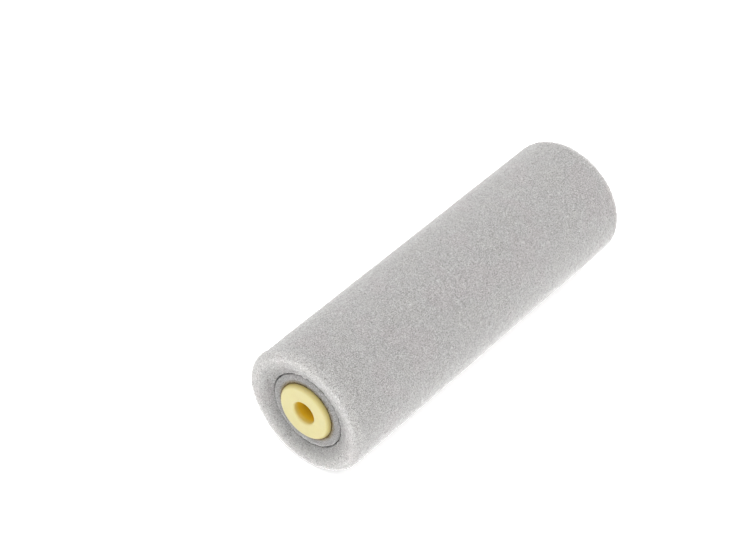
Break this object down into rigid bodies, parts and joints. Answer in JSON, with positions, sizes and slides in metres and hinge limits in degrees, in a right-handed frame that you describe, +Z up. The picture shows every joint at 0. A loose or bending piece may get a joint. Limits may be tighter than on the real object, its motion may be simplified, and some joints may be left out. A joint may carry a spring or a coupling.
{
  "type": "mini paint roller refill",
  "caption": "Short fine-foam paint roller refill on a rigid core, with flanged plastic bushes at the ends and a bore for the rod of a small roller frame.",
  "frame": {"origin": "middle of the roller, on its axis", "axes": "+Y along the roller's axis, front end at -Y; +Z up when the roller lies on its side"},
  "size_m": [0.035, 0.11, 0.035],
  "materials": {
    "foam": "fine grey flocked foam, matt",
    "bush": "pale yellow injection moulded plastic, slightly translucent",
    "core": "off-white moulded plastic"
  },
  "bodies": {
    "bushes": {"bush_front": "bush", "bush_rear": "bush", "rod_sleeve": "bush"},
    "roller": {"foam_sleeve": "foam", "end_foam_front": "foam", "end_foam_rear": "foam", "core_tube": "core", "hub_front": "core", "hub_rear": "core"}
  },
  "joints": [
    {"name": "roller_spin", "type": "hinge", "parent": "bushes", "child": "roller", "pos_m": [0, 0, 0], "axis": [0, 1, 0], "continuous": true}
  ]
}
